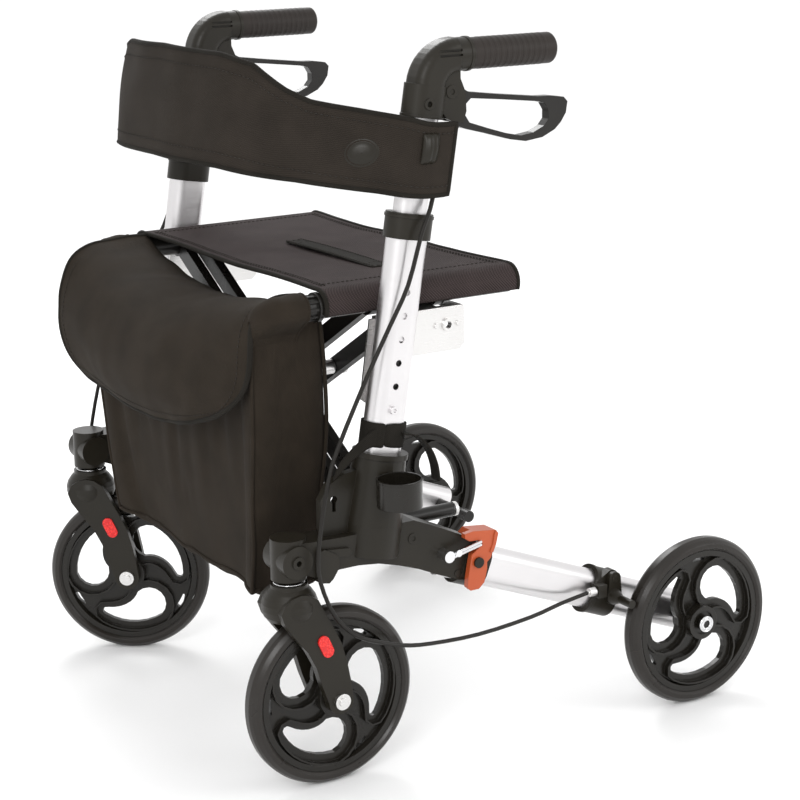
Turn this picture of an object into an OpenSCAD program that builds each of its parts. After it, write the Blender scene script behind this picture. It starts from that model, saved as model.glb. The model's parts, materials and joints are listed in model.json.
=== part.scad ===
// Folding rollator walker: two tubular side frames, an X brace under a mesh seat,
// height-adjustable brake handles, swivelling front casters and fixed rear wheels.
// Millimetres. +Z up, -Y is the direction of travel, +X is the user's left hand.
// The origin is on the ground under the middle of the walker.

/* [Wheels] */
// Diameter of all four wheels
wheel_d = 200; // [180:5:210]
// Width of a tyre across its tread
tyre_w = 26; // [20:1:34]
// Radial height of a tyre
tyre_h = 14; // [10:1:20]
// Sideways distance of a rear wheel from the middle
rear_wheel_x = 304; // [290:1:330]
// Distance from the rear axle to a caster's swivel axis
wheelbase = 512; // [460:1:560]
// Distance a caster wheel trails behind its swivel axis
trail = 45; // [35:1:60]
// Angle the right caster has turned to at rest
right_caster_turn = -35; // [-90:1:90]

/* [Side frames] */
// Sideways distance of each side frame from the middle
frame_x = 255; // [240:1:270]
// Length of the main tubes' oval section
tube_l = 46; // [40:1:50]
// Width of the main tubes' oval section
tube_w = 30; // [26:1:34]
// Wall of the main tubes
tube_wall = 2; // [1.5:0.5:3]
// Backward lean of the post
post_lean = 9.3; // [5:0.1:12]
// Height of the top of the outer post tube
post_top = 603; // [560:1:640]
// Downward slope of the rear tube
rear_slope = 21.7; // [15:0.1:28]
// Distance between the height holes
hole_pitch = 25; // [20:1:30]

/* [Handles] */
// Height of the grips at the lowest setting
grip_z = 770; // [740:1:800]
// Diameter of a grip
grip_d = 33; // [28:1:38]
// Length of a grip
grip_l = 110; // [95:1:130]
// Length of the handle tube's oval section
handle_l = 38; // [34:1:40]
// Width of the handle tube's oval section
handle_w = 25; // [22:1:26]

/* [Seat and brace] */
// Height of the seat tubes' axes
seat_tube_z = 514; // [480:1:540]
// Diameter of a seat tube
seat_tube_d = 26; // [22:1:30]
// Sideways distance of a seat tube and a lower brace pivot from the middle
brace_x = 213; // [205:1:216]
// Height of the lower brace pivots
brace_z = 262; // [250:1:300]
// Front end of the seat mesh
seat_front = -207; // [-215:1:-190]
// Rear end of the seat mesh
seat_rear = 38; // [20:1:60]

/* [Fits] */
// Radial running clearance of a turning joint
run = 0.08; // [0.05:0.01:0.1]
// Gap left between parts that are pushed together
gap = 0.3; // [0.2:0.05:0.5]

/* [Hidden] */
$fn = 48;
wheel_r = wheel_d / 2;
rear_y = wheelbase / 2 - 18;
caster_y = rear_y - wheelbase;

// The post's axis passes through this point on the way up and back.
post_y0 = -117;
post_z0 = 616;
post_bottom = 262;
// The rear tube's axis passes through the rear axle.
rear_tube_start = 350;
rear_tube_end = 16;

// Tapered socket that holds the post
socket_z = 282;
socket_h = 78;
socket_r0 = 33;
socket_r1 = 28;

// Fold latch: the outer face's distance from the frame's plane, and its pivot
latch_out = 29;
latch_pivot = [-54, 222];
latch_pivot_r = 5;
latch_pin_at = [-94, 237];

// Caster head and housing
head_r = 19;
stem_r = 8;
head_z0 = 240;
head_z1 = 285;
arm_w = 36;

// Elbow: a bend from the leaning post axis to the level grip
bend_r = 34;
grip_y0 = -45;

// Elbow body around the handle tube
elbow_l = 46;
elbow_w = 35;
elbow_skirt = 34;

// Brace: two pairs of flat bars, side by side
bar_w = 20;
bar_t = 11;
brace_a_y = [-156, -130];
brace_b_y = [-143, -62];
brace_pin_r = 6;
sleeve_wall = 3;
rod_r = 5;
rod_sleeve_r = 8;
tube_r = seat_tube_d / 2;
brace_run = 2 * brace_x;
brace_rise = seat_tube_z - brace_z;
brace_angle = atan(brace_rise / brace_run);
brace_mid_z = (seat_tube_z + brace_z) / 2;

// Colours
black = [0.09, 0.09, 0.095];
gloss = [0.05, 0.05, 0.055];
rubber = [0.12, 0.12, 0.12];
silver = [0.82, 0.81, 0.83];
steel = [0.7, 0.7, 0.72];
orange = [0.95, 0.38, 0.12];
red = [0.85, 0.06, 0.05];
cloth = [0.13, 0.12, 0.125];

// ---------- helpers ----------

function post_y(z) = post_y0 + (z - post_z0) * tan(post_lean);
function rear_tube_z(y) = wheel_r + (rear_y - y) * tan(rear_slope);
function lerp(a, b, t) = a + (b - a) * t;
function unit(v) = v / norm(v);

// Builds a left-hand piece as its mirror image.
module as_right() {
    mirror([1, 0, 0]) children();
}

// Rounded slot shape: length l along Y, width w along X.
module oval(l, w) {
    square([w, l - w], center = true);
    for (s = [-1, 1])
        translate([0, s * (l - w) / 2]) circle(d = w);
}

// Places children on the post's axis at height z, with local Z up the post.
module on_post(z) {
    translate([frame_x, post_y(z), z]) rotate([-post_lean, 0, 0]) children();
}

// Places children at the rear axle, with local Z up the rear tube towards the housing.
module on_rear_tube() {
    translate([frame_x, rear_y, wheel_r]) rotate([90 - rear_slope, 0, 0]) children();
}

// Extrudes a side view drawn as [y, z] points between x0 and x1.
module side_plate(x0, x1) {
    translate([x0, 0, 0]) rotate([90, 0, 90]) linear_extrude(x1 - x0) children();
}

module rod_x(x0, x1, y, z, r) {
    translate([x0, y, z]) rotate([0, 90, 0]) cylinder(h = x1 - x0, r = r);
}

module rod_y(y0, y1, x, z, r) {
    translate([x, y1, z]) rotate([90, 0, 0]) cylinder(h = y1 - y0, r = r);
}

// Outline of a curved drop: its spine runs from radius r0 at angle a0 to r1 at a1,
// and its half width changes from w0 to w1, with round ends.
function drop_spine(r0, a0, r1, a1, t) =
    let (r = lerp(r0, r1, t), a = lerp(a0, a1, t)) [r * cos(a), r * sin(a)];
function drop_normal(r0, a0, r1, a1, t) =
    let (d = unit(drop_spine(r0, a0, r1, a1, t + 0.01) - drop_spine(r0, a0, r1, a1, t - 0.01)))
    [-d[1], d[0]];
function drop_outline(r0, a0, w0, r1, a1, w1, n = 7) =
    let (
        tail_n = drop_normal(r0, a0, r1, a1, 1),
        head_n = drop_normal(r0, a0, r1, a1, 0),
        tail_a = atan2(tail_n[1], tail_n[0]),
        head_a = atan2(head_n[1], head_n[0])
    ) concat(
        [for (i = [0:n]) let (t = i / n)
            drop_spine(r0, a0, r1, a1, t) + lerp(w0, w1, t) * drop_normal(r0, a0, r1, a1, t)],
        [for (i = [1:3]) let (a = tail_a - i * 45)
            drop_spine(r0, a0, r1, a1, 1) + w1 * [cos(a), sin(a)]],
        [for (i = [n:-1:0]) let (t = i / n)
            drop_spine(r0, a0, r1, a1, t) - lerp(w0, w1, t) * drop_normal(r0, a0, r1, a1, t)],
        [for (i = [1:7]) let (a = head_a + 180 - i * 22.5)
            drop_spine(r0, a0, r1, a1, 0) + w0 * [cos(a), sin(a)]]
    );

// Smooth curve through points p, s steps between neighbours.
function curve_point(a, b, c, d, t) =
    0.5 * (2 * b + (c - a) * t + (2 * a - 5 * b + 4 * c - d) * t * t
        + (3 * b - a - 3 * c + d) * t * t * t);
function smooth_path(p, s) = concat(
    [for (i = [0:len(p) - 2], j = [0:s - 1])
        curve_point(p[max(i - 1, 0)], p[i], p[i + 1], p[min(i + 2, len(p) - 1)], j / s)],
    [p[len(p) - 1]]
);

// Round cord of radius r along path p, as one closed solid.
module cord(p, r, sides = 8) {
    n = len(p);
    rings = [for (i = [0:n - 1])
        let (
            d = unit(p[min(i + 1, n - 1)] - p[max(i - 1, 0)]),
            side = unit(cross(d, [1, 0.02, 0.03])),
            up = cross(side, d)
        )
        for (k = [0:sides - 1]) p[i] + r * (cos(k * 360 / sides) * side + sin(k * 360 / sides) * up)];
    faces = concat(
        [[for (k = [0:sides - 1]) k]],
        [for (i = [0:n - 2], k = [0:sides - 1])
            let (a = i * sides + k, b = i * sides + (k + 1) % sides) [a, a + sides, b + sides, b]],
        [[for (k = [sides - 1:-1:0]) (n - 1) * sides + k]]
    );
    polyhedron(rings, faces);
}

// ---------- wheels, drawn about their own axle along X ----------

rim_r = wheel_r - tyre_h;
hub_r = 20;
hub_half = 16;
axle_r = 6;

// One drop-shaped opening of the rim, grown by g all round
module rim_drop(g) {
    polygon(drop_outline(48, 58, 21 + g, 62, -2, 5 + g * 0.8));
}

module wheel_rim() {
    rotate([90, 0, 90]) difference() {
        union() {
            // web with its openings
            linear_extrude(7, center = true) difference() {
                circle(r = rim_r - 4, $fn = 72);
                for (k = [0:2]) rotate(k * 120) {
                    rim_drop(0);
                    polygon(drop_outline(75.5, 84, 3, 73.5, 95, 1.2));
                }
            }
            // raised ribs around the openings
            linear_extrude(19, center = true) intersection() {
                circle(r = rim_r - 7, $fn = 72);
                for (k = [0:2]) rotate(k * 120) difference() {
                    rim_drop(12);
                    rim_drop(9.5);
                }
            }
            rotate_extrude($fn = 72) polygon([
                [rim_r - 9, -4], [rim_r - 7, -10], [rim_r - gap, -10],
                [rim_r - gap, 10], [rim_r - 7, 10], [rim_r - 9, 4]
            ]);
            cylinder(h = 2 * hub_half, r = hub_r, center = true);
        }
        cylinder(h = 4 * hub_half, r = axle_r + run, center = true);
        for (s = [-1, 1]) translate([0, 0, s * hub_half]) cylinder(h = 5, r = 14, center = true);
    }
}

module wheel_tyre() {
    edge = tyre_w / 2;
    rotate([0, 90, 0]) rotate_extrude($fn = 96) polygon([
        [rim_r, -edge + 3], [rim_r + 3, -edge], [wheel_r - 6, -edge + 1], [wheel_r - 2, -edge + 5],
        [wheel_r, -edge + 9], [wheel_r, edge - 9], [wheel_r - 2, edge - 5], [wheel_r - 6, edge - 1],
        [rim_r + 3, edge], [rim_r, edge - 3]
    ]);
}

// ---------- caster, drawn with its swivel axis through the origin ----------

module caster_fork() {
    leg_in = tyre_w / 2 + 4;
    leg_out = leg_in + 10;
    difference() {
        union() {
            // two legs that curve back from the hood to the axle
            for (s = [0, 1]) mirror([s, 0, 0]) side_plate(leg_in, leg_out) {
                polygon([
                    [-10, 226], [-19, 220], [-24, 210], [-20, 198], [-8, 181], [6, 163], [16, 143],
                    [22, 122], [trail - 15, wheel_r], [trail + 15, wheel_r], [57, 122], [53, 143],
                    [47, 165], [37, 186], [27, 205], [20, 219], [10, 226], [0, 228]
                ]);
                translate([trail, wheel_r]) circle(r = 15);
            }
            // rounded hood over the wheel, and the collar under the frame's head
            rotate_extrude() polygon([
                [0, 196], [24, 196], [28, 201], [30, 208], [30, 215], [28, 221], [24, 227],
                [20, 231], [20, 235], [9, 235], [9, 237], [stem_r, 237],
                [stem_r, head_z0 + 30], [0, head_z0 + 30]
            ]);
        }
        rod_x(-40, 40, trail, wheel_r, axle_r + run);
        // room for the wheel
        rod_x(-leg_in, leg_in, trail, wheel_r, wheel_r + 3.5);
    }
}

module caster_reflectors() {
    face = tyre_w / 2 + 14;
    for (s = [0, 1]) mirror([s, 0, 0])
        translate([face, 27, 166]) rotate([24, 0, 0]) rotate([90, 0, 90]) linear_extrude(2)
            oval(26, 13);
}

module caster_axle() {
    face = tyre_w / 2 + 14;
    rod_x(-face - 1, face + 1, trail, wheel_r, axle_r);
    for (s = [0, 1]) mirror([s, 0, 0]) {
        rod_x(face, face + 4, trail, wheel_r, 9);
        rod_x(face + 3, face + 6, trail, wheel_r, 5);
    }
}

module on_left_caster() {
    translate([frame_x, caster_y, 0]) children();
}

module on_right_caster() {
    translate([-frame_x, caster_y, 0]) rotate([0, 0, right_caster_turn]) children();
}

// ---------- left side frame ----------

module housing() {
    x0 = frame_x - arm_w / 2;
    x1 = frame_x + arm_w / 2;
    difference() {
        union() {
            // arm from the caster head to the rear tube
            side_plate(x0, x1) polygon([
                [caster_y, 250], [caster_y, 281], [-247, 280], [-217, 279], [-170, 279],
                [-148, 281], [-129, 281], [-110, 273], [-78, 258], [-52, 245], [-46, 238],
                [-58, 200], [-72, 202], [-98, 213], [-124, 225], [-149, 234], [-174, 241],
                [-199, 244], [-222, 244], [-250, 240]
            ]);
            // head that carries the caster's stem, with a round cheek on each side
            translate([frame_x, caster_y, head_z0]) cylinder(h = head_z1 - head_z0, r = head_r);
            rod_x(x0 - 4, x1 + 4, caster_y, 262, 18);
            rod_x(x1, x1 + 6, caster_y, 262, 7);
            // lug that guides the brake cable
            side_plate(x1 - 8, x1 + 7) polygon([
                [-250, 270], [-244, 272], [-228, 263], [-226, 256], [-228, 247], [-234, 238],
                [-239, 234], [-250, 236]
            ]);
            side_plate(x1 - 2, x1 + 4) polygon([
                [-240, 270], [-212, 267], [-208, 262], [-213, 258], [-230, 260]
            ]);
            // tapered socket for the post
            on_post(250) cylinder(h = 34, r = socket_r0);
            on_post(socket_z) cylinder(h = socket_h, r1 = socket_r0, r2 = socket_r1);
            on_post(354) cylinder(h = 6, r = socket_r1 + 2);
            // gusset in front of the socket
            side_plate(frame_x - 5, frame_x + 5) polygon([
                [-236, 278], [-236, 318], [-226, 334], [-206, 343], [-180, 346], [-180, 278]
            ]);
            // mouth that holds the rear tube
            on_rear_tube() translate([0, 0, 292]) linear_extrude(34)
                oval(tube_l + 8, tube_w + 10);
            // cover screws and the pivot of the fold latch
            rod_x(x0 - 1, x1 + 1, -131, 261, 6);
            rod_x(x0 - 1, x1 + 1, -74, 210, 4);
            rod_x(x1 - 4, frame_x + latch_out + 2, latch_pivot[0], latch_pivot[1], latch_pivot_r);
            rod_x(frame_x + latch_out + 1, frame_x + latch_out + 3, latch_pivot[0], latch_pivot[1],
                latch_pivot_r + 1);
            // lug that carries the brace rod
            translate([brace_x - 9, -190, brace_z - 9]) cube([frame_x - brace_x - 8, 12, 24]);
        }
        // bores for the stem, the post, the rear tube and the brace rod
        translate([frame_x, caster_y, head_z0 - 1]) cylinder(h = 34, r = stem_r + run);
        on_post(post_bottom) translate([0, 0, -gap]) linear_extrude(140)
            oval(tube_l + 2 * gap, tube_w + 2 * gap);
        on_rear_tube() translate([0, 0, 280]) linear_extrude(rear_tube_start - 280 + gap)
            oval(tube_l + 2 * gap, tube_w + 2 * gap);
        rod_y(-200, -160, brace_x, brace_z, rod_r + gap);
        rod_y(-178, -20, brace_x, brace_z, rod_sleeve_r + 1.5);
        // sockets of the screws
        for (yz = [[caster_y, 262], [-131, 261]]) rod_x(x1, x1 + 10, yz[0], yz[1], 3);
        // keyhole slot in the gusset
        rod_x(x0 - 5, x1 + 5, -220, 317, 4);
        translate([x0 - 5, -222, 304]) cube([arm_w + 10, 4, 12]);
    }
}

module post() {
    length = (post_top - post_bottom) / cos(post_lean);
    on_post(post_bottom) difference() {
        union() {
            linear_extrude(length) difference() {
                oval(tube_l, tube_w);
                oval(tube_l - 2 * tube_wall, tube_w - 2 * tube_wall);
            }
            // height screw in the lowest hole
            translate([tube_w / 2 - tube_wall, 0, 146]) rotate([0, 90, 0]) cylinder(h = 6, r = 4.5);
        }
        for (i = [1:5]) translate([0, 0, 146 + i * hole_pitch]) rotate([0, 90, 0])
            cylinder(h = tube_w, r = 3.5);
        translate([tube_w / 2 + 2, 0, 146]) rotate([0, 90, 0]) cylinder(h = 6, r = 2);
    }
}

module collar() {
    on_post(584) difference() {
        union() {
            linear_extrude(27) oval(tube_l + 7, tube_w + 7);
            translate([0, 0, 22]) linear_extrude(3) oval(tube_l + 9, tube_w + 9);
        }
        translate([0, 0, -1]) linear_extrude(21) oval(tube_l + 2 * gap, tube_w + 2 * gap);
        translate([0, 0, -1]) linear_extrude(40) oval(handle_l + gap, handle_w + gap);
    }
}

module rear_tube() {
    on_rear_tube() difference() {
        translate([0, 0, -rear_tube_end]) linear_extrude(rear_tube_start + rear_tube_end)
            difference() {
                oval(tube_l, tube_w);
                oval(tube_l - 2 * tube_wall, tube_w - 2 * tube_wall);
            }
        rotate([0, 90, 0]) cylinder(h = 60, r = axle_r + gap, center = true);
    }
}

// Plate on the inner face of the post, with a lip that the seat tube rests on
module seat_rest() {
    web_x = frame_x - tube_w / 2 - 4;
    lip_z = seat_tube_z - tube_r - 4;
    difference() {
        union() {
            side_plate(web_x, web_x + 3) polygon([
                [-159, lip_z + 2], [-40, lip_z + 2], [-40, 458], [-46, 452], [-112, 452],
                [-130, 408], [-164, 408], [-172, 414]
            ]);
            translate([brace_x - 8, -150, lip_z]) cube([web_x - brace_x + 9, 110, 3]);
            rod_x(web_x - 2, web_x + 6, -62, 481, 7);
            for (y = [-76, -48]) rod_x(web_x - 1, web_x + 5, y, 481, 3);
        }
        rod_x(web_x - 5, web_x + 8, -62, 481, 4);
        // notches that the brace bars pass through
        for (y = concat(brace_a_y, brace_b_y))
            translate([brace_x - 20, y - bar_t / 2 - 1, lip_z - 1]) cube([35, bar_t + 2, 6]);
    }
}

module brace_rod() {
    rod_y(-196, -36, brace_x, brace_z, rod_r);
    rod_y(-196, -192, brace_x, brace_z, rod_sleeve_r);
    rod_y(-40, -36, brace_x, brace_z, rod_sleeve_r);
}

brake_y = 130;
brake_pivot = [138, 163];
shoe_at = [137.7, 141.3];
sleeve_half = 18;

module brake_bracket() {
    along = (rear_y - brake_y) / cos(rear_slope);
    difference() {
        union() {
            on_rear_tube() translate([0, 0, along - sleeve_half]) linear_extrude(2 * sleeve_half)
                oval(tube_l + 9, tube_w + 9);
            on_rear_tube() translate([0, 0, along + sleeve_half - 4]) linear_extrude(4)
                oval(tube_l + 11, tube_w + 11);
            // ear that carries the brake arm
            side_plate(frame_x + 9, frame_x + 19.5) hull() {
                translate(brake_pivot) circle(r = 9);
                translate([124, 152]) circle(r = 12);
            }
            // cable stop
            translate([frame_x + 16, 110, 146]) cube([16, 12, 15]);
        }
        on_rear_tube() translate([0, 0, along - 40]) linear_extrude(80)
            oval(tube_l + 2 * gap, tube_w + 2 * gap);
        rod_x(frame_x + 8, frame_x + 40, brake_pivot[0], brake_pivot[1], 4 + run);
        rod_y(100, 118, frame_x + 26, 154, 3 + run);
    }
}

module brake_barrel() {
    rod_y(98, 116, frame_x + 26, 154, 3);
    rod_y(100, 109, frame_x + 26, 154, 5);
}

strap_z = 366;

module webbing_strap() {
    difference() {
        union() {
            on_post(strap_z) linear_extrude(26) oval(tube_l + 4, tube_w + 4);
            // tails towards the bag and towards the rear hook
            side_plate(frame_x + 13, frame_x + 15) polygon([
                [-168, 371], [-168, 391], [-194, 386], [-224, 364], [-224, 344], [-194, 367]
            ]);
            side_plate(frame_x + 13, frame_x + 15) polygon([
                [-140, 365], [-140, 387], [-112, 374], [-96, 348], [-92, 322], [-104, 320],
                [-110, 342], [-122, 360]
            ]);
        }
        on_post(strap_z) translate([0, 0, -20]) linear_extrude(70)
            oval(tube_l + 2 * gap, tube_w + 2 * gap);
    }
}

cable_points = [
    [264.5, -64, 697], [268, -76, 682], [270.8, -87, 660], [273, -97, 640], [279, -108, 616],
    [283, -122, 590], [282, -138, 540], [281, -160, 500], [280, -188, 450], [282, -226, 380],
    [284, -240, 345], [287, -253, 290], [289, -257, 252], [288, -247, 218], [288, -234, 194],
    [286, -212, 172], [286, -188, 160], [286, -154, 148], [286, -118, 142], [286, -55, 139],
    [284, 16, 143], [281, 60, 149], [281, 97.5, 154]
];

module brake_cable() {
    cord(smooth_path(cable_points, 3), 2.4);
}

// ---------- fold latch ----------

module latch() {
    x0 = frame_x + latch_out - 7;
    x1 = frame_x + latch_out;
    difference() {
        union() {
            side_plate(x0, x1) polygon([
                [-71, 257], [-60, 258.5], [-31, 255], [-28, 251], [-31, 239], [-35, 230],
                [-37, 224], [-42, 220], [-42, 212], [-44, 204], [-46, 197], [-53, 191],
                [-64, 191], [-68, 195], [-67, 205], [-64, 222], [-62, 232], [-53, 238],
                [-48, 242], [-52, 247], [-65, 248], [-71, 252]
            ]);
            // lip folded over the top of the mouth
            side_plate(frame_x + 7, x0 + 1) polygon([
                [-66, 253], [-60, 258.5], [-31, 255], [-29, 251], [-46, 253]
            ]);
            // raised rim along the rear edge
            side_plate(x1 - 1, x1 + 1.5) polygon([
                [-31, 255], [-28, 251], [-31, 239], [-35, 230], [-39, 231], [-35, 240], [-33, 250]
            ]);
        }
        rod_x(x0 - 1, x1 + 1, latch_pivot[0], latch_pivot[1], latch_pivot_r + run);
    }
}

// Wire hook that swings over the latch and holds it shut
module latch_pin() {
    x0 = frame_x + arm_w / 2 + gap;
    x1 = frame_x + latch_out + 2.5;
    rod_x(x0, x1 + 3, latch_pin_at[0], latch_pin_at[1], 6.5);
    for (dx = [0, 3.4]) translate([x1 + 1, latch_pin_at[0], latch_pin_at[1] - 3 + dx])
        rotate([-78, 0, 0]) cylinder(h = 43, r = 1.6);
    rod_x(x1 - 1, x1 + 3, latch_pin_at[0] + 12, latch_pin_at[1] + 2, 4);
}

// ---------- left handle ----------

elbow_top_y = post_y(grip_z);
lever_pivot = [-71, 733];
lever_hub_r = 6;
lever_half = 6;

module handle_tube() {
    on_post(478) linear_extrude((732 - 478) / cos(post_lean)) difference() {
        oval(handle_l, handle_w);
        oval(handle_l - 4, handle_w - 4);
    }
}

module elbow() {
    turn = 90 - post_lean;
    // distance from the corner, where the two axes meet, to each end of the bend
    back = bend_r * tan(turn / 2);
    difference() {
        union() {
            on_post(grip_z) translate([0, 0, -back - elbow_skirt]) linear_extrude(elbow_skirt)
                oval(elbow_l, elbow_w);
            on_post(grip_z) translate([0, 0, -back - elbow_skirt]) linear_extrude(3)
                oval(elbow_l + 1.5, elbow_w + 1.5);
            // bend, turned about an axis along X
            translate([frame_x, elbow_top_y + back, grip_z - bend_r]) rotate([0, -90, 0])
                rotate([0, 0, -turn]) rotate_extrude(angle = turn) translate([bend_r, 0])
                    bend_section();
            rod_y(elbow_top_y + back, grip_y0, frame_x, grip_z, 17.5);
            rod_y(grip_y0 - 4, grip_y0, frame_x, grip_z, 18.2);
            // cheeks that carry the brake lever
            side_plate(frame_x - 11, frame_x + 11) polygon([
                [-84, 764], [-60, 764], [-60, 746], [-54, 732], [-53, 712], [-57, 700],
                [-68, 701], [-78, 706], [-84, 714]
            ]);
            rod_x(frame_x - 12, frame_x + 12, lever_pivot[0], lever_pivot[1], 7);
            rod_x(frame_x - 18.5, frame_x + 18.5, -103, 723, 6);
        }
        // socket for the handle tube
        on_post(650) linear_extrude((734 - 650) / cos(post_lean)) oval(handle_l + gap, handle_w + gap);
        // slot that the lever turns in
        side_plate(frame_x - lever_half - 0.5, frame_x + lever_half + 0.5) polygon([
            [-77.8, 690], [-77.8, 741], [-66, 745], [-30, 750], [-30, 690]
        ]);
        // sockets of the screws, and the release slots beside the grip
        for (s = [-1, 1]) {
            rod_x(frame_x + s * 16 - 1, frame_x + s * 20 + 1, -103, 723, 3);
            rod_x(frame_x + s * 12 - 1, frame_x + s * 12 + 1, lever_pivot[0], lever_pivot[1], 3);
            for (dz = [-2.4, 2.4]) translate([frame_x + s * 17, -75, 773 + dz])
                cube([4, 28, 2.2], center = true);
        }
    }
    // pin that the lever turns on
    rod_x(frame_x - 9, frame_x + 9, lever_pivot[0], lever_pivot[1], 3);
}

// Section of the bend: taller than wide, with rounded corners.
module bend_section() {
    square([36, 13], center = true);
    square([14, 35], center = true);
    for (sx = [-1, 1], sy = [-1, 1]) translate([sx * 7, sy * 6.5]) circle(r = 11);
}

module grip() {
    dome = 0.45 * grip_d / 2;
    rod_y(grip_y0 + gap, grip_y0 + grip_l - dome, frame_x, grip_z, grip_d / 2);
    translate([frame_x, grip_y0 + grip_l - dome, grip_z]) scale([1, 0.45, 1]) sphere(r = grip_d / 2);
    // ridges under the fingers
    for (i = [0:11]) rod_y(grip_y0 + 12 + i * 7, grip_y0 + 15 + i * 7, frame_x, grip_z,
        grip_d / 2 + 0.2);
}

module lever() {
    difference() {
        side_plate(frame_x - lever_half, frame_x + lever_half) {
            translate(lever_pivot) circle(r = lever_hub_r);
            difference() {
                polygon([
                    [-72, 739], [-58, 737], [-47, 731], [-9, 726], [43, 720], [59, 719.5],
                    [76, 717], [81, 712], [79, 700], [72, 690], [64, 683], [48, 676],
                    [26, 673.5], [6, 677], [-22, 685], [-52, 693], [-62, 697], [-66, 705],
                    [-66, 716], [-71, 727]
                ]);
                polygon([
                    [-44, 724], [-9, 720.5], [43, 714.5], [51, 712], [56, 704], [56, 695],
                    [50, 688], [36, 682], [20, 680], [1, 684], [-22, 691], [-46, 699],
                    [-52, 708], [-51, 718]
                ]);
            }
        }
        rod_x(frame_x - 20, frame_x + 20, lever_pivot[0], lever_pivot[1], 3 + run);
    }
}

module brake_arm() {
    face = frame_x + tube_w / 2 + 5;
    rod_x(frame_x + 12.5, face + 7, brake_pivot[0], brake_pivot[1], 4);
    side_plate(face, face + 6) hull() {
        translate(brake_pivot) circle(r = 8);
        translate(shoe_at) circle(r = 10);
    }
    // horn that narrows to the shoe in front of the tread
    translate([face + 5, shoe_at[0], shoe_at[1]]) rotate([0, 90, 0]) cylinder(h = 12, r1 = 10, r2 = 5);
    rod_x(face + 16, rear_wheel_x + 9, shoe_at[0], shoe_at[1], 5);
}

// ---------- shared parts ----------

// Radius of the stick cup's bore
cup_r = 22.5;

module cup() {
    at = [frame_x + 57, -171, 315];
    height = 30;
    difference() {
        union() {
            translate(at) {
                cylinder(h = height, r = cup_r + 1.6);
                translate([0, 0, height - 2]) cylinder(h = 2, r = cup_r + 2.2);
            }
            translate([frame_x + 25, at[1] - 9, at[2] + 3]) cube([15, 18, height - 10]);
        }
        translate(at + [0, 0, 3]) cylinder(h = height, r = cup_r);
        translate(at - [0, 0, 1]) cylinder(h = 10, r = 8);
        // seat against the post's socket
        on_post(socket_z) cylinder(h = socket_h, r1 = socket_r0 + gap, r2 = socket_r1 + gap);
    }
}

// One pair of brace bars in the XZ plane. The lower end is at +X when s is 1.
module brace_bars(ys, s) {
    l = norm([brace_run, brace_rise]) / 2;
    w = bar_w / 2;
    // the bars taper into their sleeves
    taper = 8;
    end = rod_sleeve_r - 1;
    for (y = ys) translate([0, y + bar_t / 2, brace_mid_z]) rotate([90, 0, 0])
        rotate([0, 0, -s * brace_angle]) linear_extrude(bar_t) difference() {
            polygon([
                [-l, -end], [taper - l, -w], [l - taper, -w], [l, -end],
                [l, end], [l - taper, w], [taper - l, w], [-l, end]
            ]);
            circle(r = brace_pin_r + run);
        }
}

module brace(ys, s) {
    low_y0 = -170;
    low_y1 = -42;
    // the upper sleeves stand proud of the bars and keep the pairs apart
    sleeve_half_t = bar_t / 2 + 0.4;
    difference() {
        union() {
            brace_bars(ys, s);
            rod_y(low_y0, low_y1, s * brace_x, brace_z, rod_sleeve_r);
            for (y = ys) rod_y(y - sleeve_half_t, y + sleeve_half_t, -s * brace_x, seat_tube_z,
                tube_r + sleeve_wall);
        }
        rod_y(low_y0 - 1, low_y1 + 1, s * brace_x, brace_z, rod_r + run);
        for (y = ys) rod_y(y - bar_t, y + bar_t, -s * brace_x, seat_tube_z, tube_r + run);
    }
}

module centre_pin() {
    y0 = brace_a_y[0] - bar_t / 2 - 3;
    y1 = brace_b_y[1] + bar_t / 2 + 3;
    rod_y(y0, y1, 0, brace_mid_z, brace_pin_r);
    rod_y(y0 - 2, y0 + 2, 0, brace_mid_z, 10);
    rod_y(y1 - 2, y1 + 2, 0, brace_mid_z, 10);
    // spacer between the front bars and the rear bar
    rod_y(brace_a_y[1] + bar_t / 2 + 1, brace_b_y[1] - bar_t / 2 - 1, 0, brace_mid_z, 9);
}

module seat_tube() {
    rod_y(seat_front, seat_rear - 4, brace_x, seat_tube_z, tube_r);
    rod_y(seat_rear - 4, seat_rear, brace_x, seat_tube_z, tube_r - 1.5);
    // flange and fluted front end
    rod_y(seat_front - 5, seat_front, brace_x, seat_tube_z, tube_r + 3);
    rod_y(seat_front - 50, seat_front - 5, brace_x, seat_tube_z, tube_r - 1);
    for (k = [0:9]) translate([brace_x, 0, seat_tube_z]) rotate([0, k * 36, 0])
        translate([tube_r - 2, seat_front - 28, -1.5]) cube([3, 23, 3]);
}

module seat_mesh_sheet() {
    z0 = seat_tube_z + tube_r + sleeve_wall + gap;
    half = brace_x + 13;
    translate([0, 0, z0]) linear_extrude(3) difference() {
        translate([-half, seat_front]) square([2 * half, seat_rear - seat_front]);
        for (s = [-1, 1], y = [0, 1]) translate([s * half, y == 0 ? seat_front : seat_rear])
            rotate(45) square(6, center = true);
    }
}

band_x = 281;
band_y = -105;
band_bow = 175;
band_t = 3.5;
function band_line(x, off) = band_y - off - band_bow * (1 - pow(abs(x) / band_x, 5));

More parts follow.
